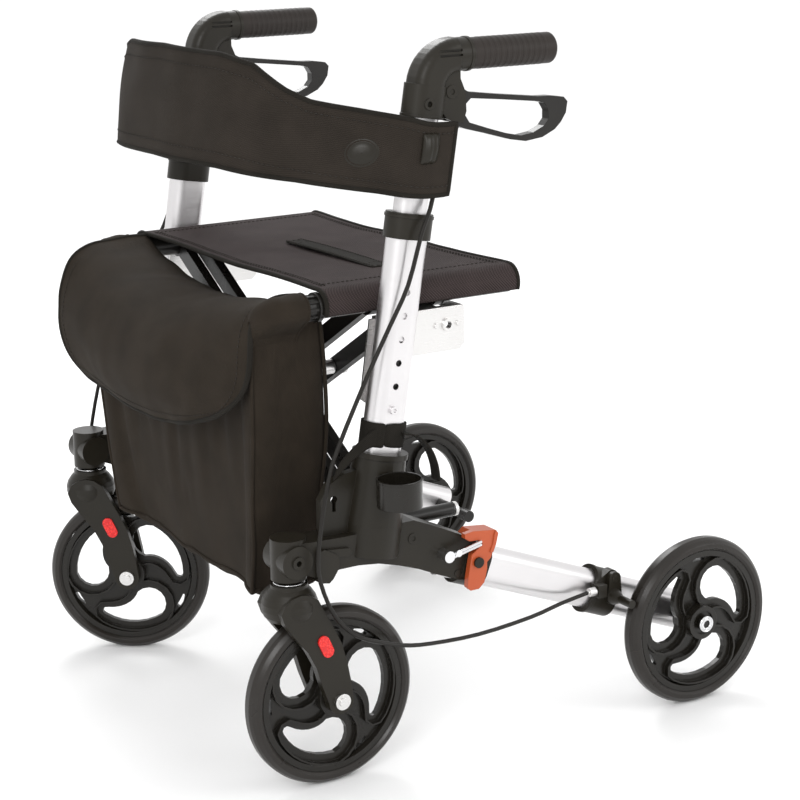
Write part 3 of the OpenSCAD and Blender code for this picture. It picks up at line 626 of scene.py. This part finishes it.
def band_row(p):
    """The band's points from its lower to its upper edge, at one point of its middle line."""
    out = abs(p.x)
    bottom, top = between(BAND_BOTTOM, out), between(BAND_TOP, out)
    slack = min(1.0, 6 * (BAND_END_X - out))  # the cloth is pulled flat near the tubes
    row = []
    for k in range(BAND_LEVELS):
        t = k / (BAND_LEVELS - 1)
        z = bottom + (top - bottom) * t
        crown = BAND_CROWN * math.sin(math.pi * t) * (1 - (out / BAND_END_X) ** 4)
        ripple = dimple((p.x, z, 0), scale=16.0, depth=0.003, seed=8.0) * slack
        row.append(Vector((p.x, p.y + (z - BAND_MIDDLE_Z) * BAND_LEAN - crown + ripple, z)))
    return row


def outward(point, distance):
    """Offset away from the middle of the walker, in plan."""
    return Vector((point.x * 1.6, point.y + 0.1, 0.0)).normalized() * distance


def make_backrest():
    """The wide band between the handles, with a bound edge and two rows of stitches."""
    half = smooth_curve([(x, y, 0) for x, y in BAND_PLAN], 6)
    far_half = [Vector((-p.x, p.y, 0)) for p in reversed(half[1:])]
    line = resample(far_half + half, BAND_POINTS)
    rows = [band_row(p) for p in line]
    band = sheet_grid("backrest_band", rows, "band_fabric")
    thicken(band, BAND_T, levels=0)
    lower, upper = [row[0] for row in rows], [row[-1] for row in reversed(rows)]
    rim = lower + rows[-1][1:-1] + upper + rows[0][-2:0:-1]
    piping = tubes("backrest_piping", [rim], PIPING_RADIUS, "webbing", closed=True)
    seams = []
    for level in BAND_SEAM_LEVELS:
        seams += stitches([row[level] + outward(row[level], BAND_SEAM_LIFT) for row in rows])
    thread = sewn("backrest_stitches", seams, BAND_THREAD_RADIUS)
    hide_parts("backrest")
    return [band, piping, thread]


BADGE_CENTRE = Vector((0.2430, -0.1670, 0.676))
BADGE_FACING = Vector((0.80, -0.60, 0.0)).normalized()
BADGE_HALF_WIDE = 0.019
BADGE_HALF_TALL = 0.0155
BADGE_SIDES = 40
# (share of the full size, height above the band), from the rim to the middle
BADGE_RINGS = [
    (1.0, 0.0), (1.0, 0.0022), (0.92, 0.0036), (0.80, 0.0030), (0.72, 0.0042), (0.4, 0.0052),
    (0.02, 0.0055),
]


def make_badge():
    """A plain oval pad sewn on the band."""
    side = BADGE_HALF_WIDE * Vector((-BADGE_FACING.y, BADGE_FACING.x, 0.0))
    up = BADGE_HALF_TALL * Vector((0.0, BAND_LEAN, 1.0)).normalized()
    points = []
    for scale, height in BADGE_RINGS:
        for k in range(BADGE_SIDES):
            angle = 2 * math.pi * k / BADGE_SIDES
            spoke = math.cos(angle) * side + math.sin(angle) * up
            points.append(BADGE_CENTRE + scale * spoke + BADGE_FACING * height)
    faces = ring_faces(len(BADGE_RINGS), BADGE_SIDES)
    return [new_piece("backrest_badge", points, faces, "black_plastic")]


CLIP_STEPS = 12
CLIP_X = 0.2787
CLIP_FRONT_Y = -0.1125
CLIP_LENGTH = 0.0185
CLIP_BOTTOM_Z = 0.664
CLIP_HEIGHT = 0.030
CLIP_T = 0.002
CLIP_RIDGE = 0.0008


def make_band_clip(side):
    """The moulded clip that holds one end of the band on its handle tube."""
    rows = []
    for i in range(CLIP_STEPS + 1):
        s = i / CLIP_STEPS
        z = CLIP_BOTTOM_Z + CLIP_HEIGHT * s
        bulge = 0.0015 + 0.0065 * math.sin(math.pi * s) ** 0.4
        row = []
        for j in range(CLIP_STEPS + 1):
            t = j / CLIP_STEPS
            y = CLIP_FRONT_Y + CLIP_LENGTH * t + (z - BAND_MIDDLE_Z) * BAND_LEAN
            ridge = CLIP_RIDGE * math.cos(6 * math.pi * t)
            x = CLIP_X + bulge * math.sin(math.pi * t) ** 0.35 + ridge
            row.append(Vector((side * x, y, z)))
        rows.append(row)
    clip = sheet_grid(f"{side_word(side)}_band_clip", rows, "black_plastic")
    thicken(clip, CLIP_T)
    return clip


# ---------- bag ----------

BAG_HALF = 0.199
BAG_FRONT = -0.279
BAG_REAR = -0.198
BAG_TOP = 0.482
BAG_BOTTOM = 0.213
BAG_WIDE = Vector((2 * BAG_HALF, 0, 0))
BAG_DEEP = Vector((0, BAG_REAR - BAG_FRONT, 0))
BAG_TALL = Vector((0, 0, BAG_TOP - BAG_BOTTOM))
PANEL_PITCH = 0.0085
SAME_PLACE = 0.001  # two points of the flat panels this close are the same
BAG_CLOTH_T = 0.0018
BAG_PIPING_RADIUS = 0.0024
FRONT_BELLY = 0.006
FRONT_LEAN = 0.004  # how far the front leans out at its bottom
REAR_BELLY = 0.010
SIDE_RISE = 0.018  # the sides go up towards the sleeves
BOTTOM_SAG = 0.006
# The load lies towards the left side, so the lower corner on the right is drawn in.
DRAWN_IN_X = 0.024
DRAWN_IN_Y = 0.014
DRAWN_IN_TO_Y = -0.24  # only points in front of this move back
SETTLE_FRAMES = 18
SETTLE_LIMIT = 0.014


def settle(piece, pinned):
    """Lets a cloth shell hang from its pinned points, with a little spare fabric."""
    group = piece.vertex_groups.new(name="pins")
    group.add(pinned, 1.0, "REPLACE")
    cloth = piece.modifiers.new("cloth", "CLOTH")
    cloth.settings.quality = 6
    cloth.settings.mass = 0.35
    cloth.settings.tension_stiffness = 30
    cloth.settings.compression_stiffness = 30
    cloth.settings.shear_stiffness = 12
    cloth.settings.bending_stiffness = 1.2
    cloth.settings.shrink_min = -0.02
    cloth.settings.vertex_group_mass = "pins"
    cloth.collision_settings.use_self_collision = False
    cloth.point_cache.frame_start = 1
    cloth.point_cache.frame_end = SETTLE_FRAMES
    for step in range(1, SETTLE_FRAMES + 1):
        bpy.context.scene.frame_set(step)
    before = [v.co.copy() for v in piece.data.vertices]
    apply_modifiers(piece)
    bpy.context.scene.frame_set(1)
    for vertex, start in zip(piece.data.vertices, before):
        moved = vertex.co - start
        if moved.length > SETTLE_LIMIT:
            vertex.co = start + moved * (SETTLE_LIMIT / moved.length)


def near(a, b):
    return abs(a - b) < SAME_PLACE


def add_panel(build, corner, a, b):
    """Adds one flat panel to the mesh being built, with its sides a and b from a corner."""
    steps_a, steps_b = round(a.length / PANEL_PITCH), round(b.length / PANEL_PITCH)
    grid = [
        [build.verts.new(corner + a * i / steps_a + b * j / steps_b) for j in range(steps_b + 1)]
        for i in range(steps_a + 1)
    ]
    for i in range(steps_a):
        for j in range(steps_b):
            build.faces.new((grid[i][j], grid[i + 1][j], grid[i + 1][j + 1], grid[i][j + 1]))


def sew_panels():
    """The pocket's front, rear, two sides and bottom, flat and sewn at their shared edges."""
    build = bmesh.new()
    low = Vector((-BAG_HALF, BAG_FRONT, BAG_BOTTOM))
    add_panel(build, low, BAG_WIDE, BAG_TALL)
    add_panel(build, low + BAG_DEEP, BAG_WIDE, BAG_TALL)
    add_panel(build, low, BAG_DEEP, BAG_TALL)
    add_panel(build, low + BAG_WIDE, BAG_DEEP, BAG_TALL)
    add_panel(build, low, BAG_WIDE, BAG_DEEP)
    bmesh.ops.remove_doubles(build, verts=build.verts, dist=SAME_PLACE)
    bmesh.ops.recalc_face_normals(build, faces=build.faces)
    mesh = bpy.data.meshes.new("bag_pocket")
    build.to_mesh(mesh)
    build.free()
    return mesh


def fill_out(vertex):
    """Moves a point of the flat panels to where it is on the filled, creased bag."""
    drop = (BAG_TOP - vertex.co.z) / (BAG_TOP - BAG_BOTTOM)
    middle = 1 - (vertex.co.x / BAG_HALF) ** 2
    if near(vertex.co.y, BAG_FRONT):
        vertex.co.y -= FRONT_BELLY * math.sin(math.pi * drop) * middle + FRONT_LEAN * drop
        vertex.co.y += dimple(vertex.co, scale=11.0, depth=0.006, seed=5.0) * drop
    if near(vertex.co.y, BAG_REAR):
        vertex.co.y += REAR_BELLY * math.sin(math.pi * min(1.0, 1.6 * drop))
    if near(abs(vertex.co.x), BAG_HALF):
        vertex.co.z += SIDE_RISE * (1 - drop) ** 6
        vertex.co.x += dimple(vertex.co, scale=13.0, depth=0.005, seed=11.0) * drop
    if near(vertex.co.z, BAG_BOTTOM):
        vertex.co.z -= BOTTOM_SAG * middle
    slack = max(0.0, -vertex.co.x / BAG_HALF) * drop ** 2
    vertex.co.x += DRAWN_IN_X * slack
    if vertex.co.y < DRAWN_IN_TO_Y:
        vertex.co.y += DRAWN_IN_Y * slack


def pocket_seams(starts, points):
    """Lines along the sewn edges, found on the flat panels and read off the final points."""

    def seam(test, key):
        chosen = [i for i, start in enumerate(starts) if test(start)]
        return [points[i] for i in sorted(chosen, key=lambda i: key(starts[i]))]

    lines = []
    for x in (-BAG_HALF, BAG_HALF):
        for y in (BAG_FRONT, BAG_REAR):
            lines.append(seam(lambda s: near(s.x, x) and near(s.y, y), lambda s: s.z))
        lines.append(seam(lambda s: near(s.x, x) and near(s.z, BAG_BOTTOM), lambda s: s.y))
    for y in (BAG_FRONT, BAG_REAR):
        lines.append(seam(lambda s: near(s.y, y) and near(s.z, BAG_BOTTOM), lambda s: s.x))
    return lines


def make_pocket():
    """The bag's pocket: five sewn panels, open at the top, that sag and crease."""
    mesh = sew_panels()
    starts = [v.co.copy() for v in mesh.vertices]
    pocket = link_piece("bag_pocket", mesh, "nylon_fabric")
    for vertex in mesh.vertices:
        fill_out(vertex)
    settle(pocket, [i for i, start in enumerate(starts) if near(start.z, BAG_TOP)])
    lines = pocket_seams(starts, [v.co.copy() for v in pocket.data.vertices])
    pocket.data.shade_smooth()
    thicken(pocket, BAG_CLOTH_T)
    piping = tubes("bag_piping", lines, BAG_PIPING_RADIUS, "nylon_fabric")
    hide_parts("bag")
    return [pocket, piping]


# Profiles of the flap (y, z) from its sewn edge down to its hem, at the user's right side,
# in the middle and at the user's left side. The cloth sags between the two seat tubes.
FLAP_RIGHT = [
    (-0.205, 0.530), (-0.225, 0.533), (-0.251, 0.531), (-0.286, 0.524), (-0.308, 0.509),
    (-0.320, 0.480), (-0.323, 0.453), (-0.321, 0.424), (-0.316, 0.400), (-0.308, 0.380),
]
FLAP_MIDDLE = [
    (-0.205, 0.490), (-0.230, 0.499), (-0.258, 0.501), (-0.286, 0.494), (-0.309, 0.476),
    (-0.322, 0.452), (-0.328, 0.426), (-0.326, 0.402), (-0.320, 0.384), (-0.312, 0.370),
]
FLAP_LEFT = [
    (-0.205, 0.520), (-0.225, 0.526), (-0.250, 0.527), (-0.270, 0.519), (-0.280, 0.500),
    (-0.284, 0.475), (-0.287, 0.452), (-0.291, 0.432), (-0.297, 0.414), (-0.304, 0.400),
]
FLAP_ROWS = 41
FLAP_POINTS = 61
FLAP_HALF = 0.203
FLAP_NARROWING = 0.040  # on each side, from the start of the rounded corners to the hem
FLAP_CORNER_START = 0.70
FLAP_BULGE_POWER = 2.2  # how quickly the middle profile gives way to the sides
FLAP_FOLD_HALF = 0.2  # half width over which the folds are spread
FLAP_T = 0.0026
FLAP_SEAM_OFFSET = Vector((0, -0.0018, 0))
FLAP_SEAM_START = 8  # the row at which the seam along the edge begins


def flap_profile(points):
    return resample(smooth_curve([(0, y, z) for y, z in points], 5), FLAP_ROWS)


def flap_rows():
    """Points of the flap, row by row from its sewn edge to its hem."""
    middle = flap_profile(FLAP_MIDDLE)
    right, left = flap_profile(FLAP_RIGHT), flap_profile(FLAP_LEFT)
    rows = []
    for i in range(FLAP_ROWS):
        t = i / (FLAP_ROWS - 1)
        corner = max(0.0, (t - FLAP_CORNER_START) / (1 - FLAP_CORNER_START))
        half = FLAP_HALF - FLAP_NARROWING * corner ** FLAP_BULGE_POWER
        row = []
        for j in range(FLAP_POINTS):
            u = 2 * j / (FLAP_POINTS - 1) - 1
            p = middle[i].lerp(left[i] if u > 0 else right[i], abs(u) ** FLAP_BULGE_POWER)
            spot = (u * FLAP_FOLD_HALF, p.y, p.z)
            fold = dimple(spot, scale=14.0, depth=0.005, seed=21.0)
            fold += dimple(spot, scale=34.0, depth=0.0018, seed=2.0)
            row.append(Vector((half * u, p.y + fold * (0.3 + 0.7 * t), p.z + fold * (1 - t))))
        rows.append(row)
    return rows


def make_flap():
    """The bag's domed flap, with a bound edge and rounded lower corners."""
    rows = flap_rows()
    flap = sheet_grid("bag_flap", rows, "nylon_fabric")
    thicken(flap, FLAP_T)
    rim = [row[0] for row in rows] + rows[-1][1:-1] + [row[-1] for row in reversed(rows)]
    binding = tubes("flap_binding", [rim], PIPING_RADIUS, "webbing")
    stitched = rows[FLAP_SEAM_START:-2]
    inner = [row[2] for row in stitched] + rows[-3][3:-3] + [row[-3] for row in reversed(stitched)]
    thread = sewn("flap_stitches", stitches([p + FLAP_SEAM_OFFSET for p in inner]))
    return [flap, binding, thread]


SLEEVE_LENGTH = 0.056
SLEEVE_RADIUS = 0.0168
SLEEVE_ROWS = 23
SLEEVE_POINTS = 41
SLEEVE_CLOTH_T = 0.0016
SLEEVE_HEM_RADIUS = 0.0016
SLEEVE_RIPPLE = 0.0006
SLEEVE_CLOSING_START = 0.55  # share of the length after which the front end closes
SLEEVE_CLOSING_IN = 0.011  # the closed end lies this far inwards and down
SLEEVE_CLOSING_DOWN = 0.010
# (x, z) of the cloth between the bag's top edge and the tube, on its two sides
SLEEVE_INNER_TAIL = [(0.1955, 0.462), (0.1955, 0.484)]
SLEEVE_OUTER_TAIL = [(0.2035, 0.488), (0.1968, 0.474), (0.1965, 0.462)]


def sleeve_row(side, t):
    """The sleeve's section, at t from 0 at its open rear end to 1 at its closed front end."""
    closing = max(0.0, (t - SLEEVE_CLOSING_START) / (1 - SLEEVE_CLOSING_START))
    radius = SLEEVE_RADIUS * math.sqrt(max(1.0 - closing ** 2.4, 0.02))
    radius += SLEEVE_RIPPLE * math.sin(9 * t)
    middle_x = SEAT_TUBE_X - SLEEVE_CLOSING_IN * closing
    middle_z = SEAT_TUBE_Z - SLEEVE_CLOSING_DOWN * closing
    loop = []
    for k in range(15):
        angle = math.radians(190 - 16 * k)
        loop.append((middle_x + radius * math.cos(angle), middle_z + radius * math.sin(angle)))
    y = SEAT_TUBE_FRONT_Y - SLEEVE_LENGTH * t
    section = SLEEVE_INNER_TAIL + loop + SLEEVE_OUTER_TAIL
    line = resample([Vector((side * x, y, z)) for x, z in section], SLEEVE_POINTS)
    return [p + Vector((0, 0, dimple(p, scale=60.0, depth=0.002, seed=4.0))) for p in line]


def make_sleeve(side):
    """The bag's cloth loop over one seat tube's front end, closed at its front."""
    name = side_word(side)
    rows = [sleeve_row(side, i / (SLEEVE_ROWS - 1)) for i in range(SLEEVE_ROWS)]
    sleeve = sheet_grid(f"{name}_bag_sleeve", rows, "nylon_fabric")
    thicken(sleeve, SLEEVE_CLOTH_T)
    hem = tubes(
        f"{name}_sleeve_hem", [rows[0]], SLEEVE_HEM_RADIUS, "nylon_fabric"
    )
    return [sleeve, hem]


# ---------- webbing straps round the posts ----------

STRAP_Z = 0.379
STRAP_WIDTH = 0.026
STRAP_T = 0.0018
STRAP_ROUND = 0.0168  # radius of the loop's two round ends
STRAP_STRAIGHT = 0.008  # half of the straight part between them
STRAP_LOOP_POINTS = 40
STRAP_TAIL_OUT = 0.0145  # from the post's middle plane to the tails
FRONT_TAIL_WIDTH = 0.022
REAR_TAIL_WIDTH = 0.016
# (y, z) of each tail, from the post to its end
FRONT_TAIL = [(-0.165, 0.380), (-0.180, 0.378), (-0.200, 0.367), (-0.222, 0.350)]
REAR_TAIL = [(-0.143, 0.380), (-0.126, 0.375), (-0.110, 0.360), (-0.101, 0.340), (-0.098, 0.320)]


def make_strap(side):
    """A strap round a post, with one tail to the bag and one that curves back and down."""
    name = side_word(side)
    up_post = Vector((0, math.sin(POST_LEAN), math.cos(POST_LEAN)))
    across_post = Vector((0, math.cos(POST_LEAN), -math.sin(POST_LEAN)))
    post_y = POST_Y + (STRAP_Z - POST_Z) * math.tan(POST_LEAN)
    centre = Vector((side * FRAME_X, post_y, STRAP_Z))
    loop = []
    for k in range(STRAP_LOOP_POINTS):
        angle = 2 * math.pi * k / STRAP_LOOP_POINTS
        straight = STRAP_STRAIGHT if math.sin(angle) > 0 else -STRAP_STRAIGHT
        sideways = Vector((STRAP_ROUND * math.cos(angle), 0, 0))
        loop.append(centre + sideways + across_post * (straight + STRAP_ROUND * math.sin(angle)))
    loop.append(loop[0].copy())
    ring = ribbon(f"{name}_strap_loop", loop, up_post, STRAP_WIDTH, STRAP_T)
    x = side * (FRAME_X + STRAP_TAIL_OUT)
    front_line = smooth_curve([(x, y, z) for y, z in FRONT_TAIL], 6)
    rear_line = smooth_curve([(x, y, z) for y, z in REAR_TAIL], 6)
    front_across = Vector((0, 0.5, 1)).normalized()
    front = ribbon(f"{name}_strap_front", front_line, front_across, FRONT_TAIL_WIDTH, STRAP_T)
    rear = ribbon(f"{name}_strap_rear", rear_line, Vector((1, 0, 0)), REAR_TAIL_WIDTH, STRAP_T)
    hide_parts(f"{name}_strap")
    ride_only(f"{name}_frame", ring, front, rear)


# ---------- small fittings ----------

BEARING_X = 0.3254
# (distance outward, radius) of the bearing's stepped outer face
BEARING_PROFILE = [
    (0.0, 0.0045), (0.0012, 0.0048), (0.0012, 0.0066), (0.0, 0.0068), (0.0, 0.0082),
    (0.001, 0.0084), (0.001, 0.0094), (-0.001, 0.0097),
]
WASHER_Z = 0.2362
WASHER_PROFILE = [
    (-0.0009, 0.0100), (-0.0008, 0.0165), (0.0, 0.0170), (0.0008, 0.0165), (0.0009, 0.0100),
]


def make_fittings(side):
    """The rear wheel's bearing, and the bright washer above the caster's fork."""
    name = side_word(side)
    bearing = lathe_x(
        f"{name}_wheel_bearing",
        [(side * out, radius) for out, radius in BEARING_PROFILE],
        (side * BEARING_X, REAR_AXLE_Y, AXLE_Z),
    )
    ride_only(f"{name}_frame", bearing)
    washer = lathe_x(f"{name}_caster_washer", WASHER_PROFILE, (0, 0, 0))
    washer.location = (side * FRAME_X, CASTER_Y, WASHER_Z)
    washer.rotation_euler = (0.0, math.pi / 2, 0.0)
    ride_only(f"{name}_caster", washer)


RIGHT, LEFT = -1, 1

ride_seat(*make_seat(), *make_pull_strap(), *make_pocket(), *make_flap())
for side in (LEFT, RIGHT):
    ride_only(f"{side_word(side)}_seat", *make_sleeve(side))
    ride_only(f"{side_word(side)}_handle", make_band_clip(side))
ride_band(*make_backrest(), *make_badge())
for side in (RIGHT, LEFT):
    make_strap(side)
for side in (RIGHT, LEFT):
    make_fittings(side)


# ---------- stage, lights and camera ----------

FLOOR_HALF = 30.0
WORLD_STRENGTH = 1.08
LIGHT_SIZE = 1.2
# name, place, the point it faces, watts
LIGHTS = [
    ("key", (2.4, -2.4, 2.2), (0.0, 0.0, 0.4), 40.0),
    ("fill", (2.4, 2.0, 1.6), (0.0, 0.0, 0.4), 16.0),
    ("rim", (-2.2, 0.6, 2.2), (0.0, 0.0, 0.5), 30.0),
]
AZIMUTH = 58.1
ELEVATION = 14.7
ROLL = -0.9
CAMERA_PLACE = Vector((2.054, -1.253, 0.967))
LENS = 92.9
SENSOR = 36.0


def make_floor():
    mesh = bpy.data.meshes.new("floor")
    corners = [(x, y, 0) for x, y in ((-1, -1), (1, -1), (1, 1), (-1, 1))]
    mesh.from_pydata([Vector(corner) * FLOOR_HALF for corner in corners], [], [(0, 1, 2, 3)])
    floor = bpy.data.objects.new("floor", mesh)
    bpy.context.scene.collection.objects.link(floor)
    shader = Shader("pale_floor")
    tint = shader.colour(shader.noise(scale=3.0), (0.93, 0.93, 0.93), (0.97, 0.97, 0.97))
    mesh.materials.append(shader.finish(Base_Color=tint, Roughness=0.7))


def make_world():
    world = bpy.data.worlds.new("studio")
    bpy.context.scene.world = world
    world.use_nodes = True
    background = world.node_tree.nodes["Background"]
    background.inputs["Color"].default_value = (1.0, 1.0, 1.0, 1.0)
    background.inputs["Strength"].default_value = WORLD_STRENGTH


def area_light(name, place, target, watts):
    """A square area light that faces a target."""
    data = bpy.data.lights.new(name, "AREA")
    data.size = LIGHT_SIZE
    data.energy = watts
    light = bpy.data.objects.new(name, data)
    bpy.context.scene.collection.objects.link(light)
    light.location = place
    light.rotation_mode = "QUATERNION"
    light.rotation_quaternion = (Vector(place) - Vector(target)).to_track_quat("Z", "Y")


def make_camera():
    """The photograph's view: from the walker's front left, a little above it."""
    azimuth, elevation, roll = (math.radians(x) for x in (AZIMUTH, ELEVATION, ROLL))
    level = Vector((math.sin(azimuth), -math.cos(azimuth), 0.0)) * math.cos(elevation)
    back = level + Vector((0.0, 0.0, math.sin(elevation)))
    right = Vector((math.cos(azimuth), math.sin(azimuth), 0.0))
    up = back.cross(right)
    turned_right = math.cos(roll) * right + math.sin(roll) * up
    turned_up = math.cos(roll) * up - math.sin(roll) * right
    data = bpy.data.cameras.new("camera")
    data.lens = LENS
    data.sensor_width = SENSOR
    camera = bpy.data.objects.new("camera", data)
    bpy.context.scene.collection.objects.link(camera)
    axes = Matrix((turned_right, turned_up, back)).transposed()
    camera.matrix_world = Matrix.Translation(CAMERA_PLACE) @ axes.to_4x4()
    bpy.context.scene.camera = camera


bpy.context.scene.view_settings.view_transform = "Standard"
make_floor()
make_world()
make_camera()
for light in LIGHTS:
    area_light(*light)
